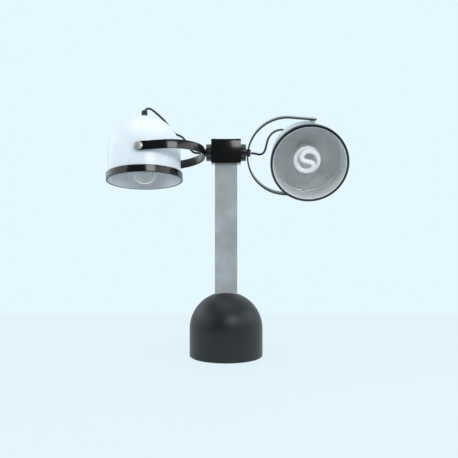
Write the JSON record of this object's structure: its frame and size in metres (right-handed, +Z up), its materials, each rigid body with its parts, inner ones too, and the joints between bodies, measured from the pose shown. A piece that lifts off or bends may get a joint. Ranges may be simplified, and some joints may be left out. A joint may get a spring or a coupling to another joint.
{
  "type": "tabletop searchlight lamp",
  "caption": "Table lamp: weighted dome base, flat column and a block that carries two tilting dome shades in swivelling straps.",
  "frame": {"origin": "on the table, under the middle of the base", "axes": "+Z up, -Y towards the viewer, +X towards the head that faces the viewer"},
  "size_m": [0.4085, 0.1639, 0.4295],
  "materials": {
    "black_satin": "satin",
    "black_gloss": "gloss",
    "cast_black": "matte",
    "steel_satin": "satin",
    "zinc_steel": "satin",
    "nickel": "satin",
    "white_enamel": "gloss",
    "cap_silver": "satin",
    "black_plastic": "satin",
    "black_rubber": "matte",
    "flex_black": "satin",
    "porcelain": "gloss",
    "clear_glass": "gloss",
    "brass_screwshell": "satin",
    "lamp_white": "satin",
    "ballast_white": "gloss"
  },
  "bodies": {
    "stand": {"base_cover": "black_satin", "base_weight": "cast_black", "base_plate": "black_satin", "base_pad": "black_rubber", "base_screws": "zinc_steel", "column": "steel_satin", "tie_rod": "zinc_steel", "tie_nuts": "zinc_steel", "head_block": "black_gloss", "block_lid": "black_gloss", "block_screws": "zinc_steel", "terminal_block": "porcelain", "terminal_screw": "zinc_steel", "drum_screws": "zinc_steel", "inlet_grommet": "black_rubber", "column_lead": "flex_black", "drum_left": "black_gloss", "drum_right": "black_gloss", "lead_left": "flex_black", "lead_right": "flex_black"},
    "yoke_left": {"stud_left": "black_gloss", "strap_left": "black_gloss", "hub_nut_left": "black_gloss", "ferrule_left": "nickel", "swivel_nut_left": "zinc_steel", "flex_left": "flex_black"},
    "yoke_right": {"stud_right": "black_gloss", "strap_right": "black_gloss", "hub_nut_right": "black_gloss", "ferrule_right": "nickel", "swivel_nut_right": "zinc_steel", "flex_right": "flex_black"},
    "shade_left": {"shade_left": "white_enamel", "rim_left": "black_gloss", "gland_left": "black_plastic", "holder_left": "porcelain", "nipple_left": "zinc_steel", "nipple_nut_left": "zinc_steel", "contact_left": "brass_screwshell", "pivot_screws_left": "cap_silver", "pivot_spacers_left": "cap_silver", "pivot_nuts_left": "zinc_steel", "bulb_globe_cap": "brass_screwshell", "bulb_globe": "clear_glass", "bulb_mount": "clear_glass"},
    "shade_right": {"shade_right": "white_enamel", "rim_right": "black_gloss", "gland_right": "black_plastic", "holder_right": "porcelain", "nipple_right": "zinc_steel", "nipple_nut_right": "zinc_steel", "contact_right": "brass_screwshell", "pivot_screws_right": "cap_silver", "pivot_spacers_right": "cap_silver", "pivot_nuts_right": "zinc_steel", "bulb_spiral_cap": "brass_screwshell", "bulb_ballast": "ballast_white", "bulb_spiral": "lamp_white"}
  },
  "joints": [
    {"name": "swivel_left", "type": "hinge", "parent": "stand", "child": "yoke_left", "pos_m": [-0.03395, 0, 0.3488], "axis": [-0.9976, 0, -0.0698], "range_deg": [-150, 150]},
    {"name": "tilt_left", "type": "hinge", "parent": "yoke_left", "child": "shade_left", "pos_m": [-0.13989, 0, 0.34139], "axis": [-0.0114, -0.9866, 0.1629], "range_deg": [-75, 50], "deforming": ["flex_left"]},
    {"name": "swivel_right", "type": "hinge", "parent": "stand", "child": "yoke_right", "pos_m": [0.03395, 0, 0.3488], "axis": [0.9965, 0, -0.0837], "range_deg": [-150, 150]},
    {"name": "tilt_right", "type": "hinge", "parent": "yoke_right", "child": "shade_right", "pos_m": [0.13978, 0, 0.33991], "axis": [-0.0786, 0.342, -0.9364], "range_deg": [-75, 50], "deforming": ["flex_right"]}
  ]
}
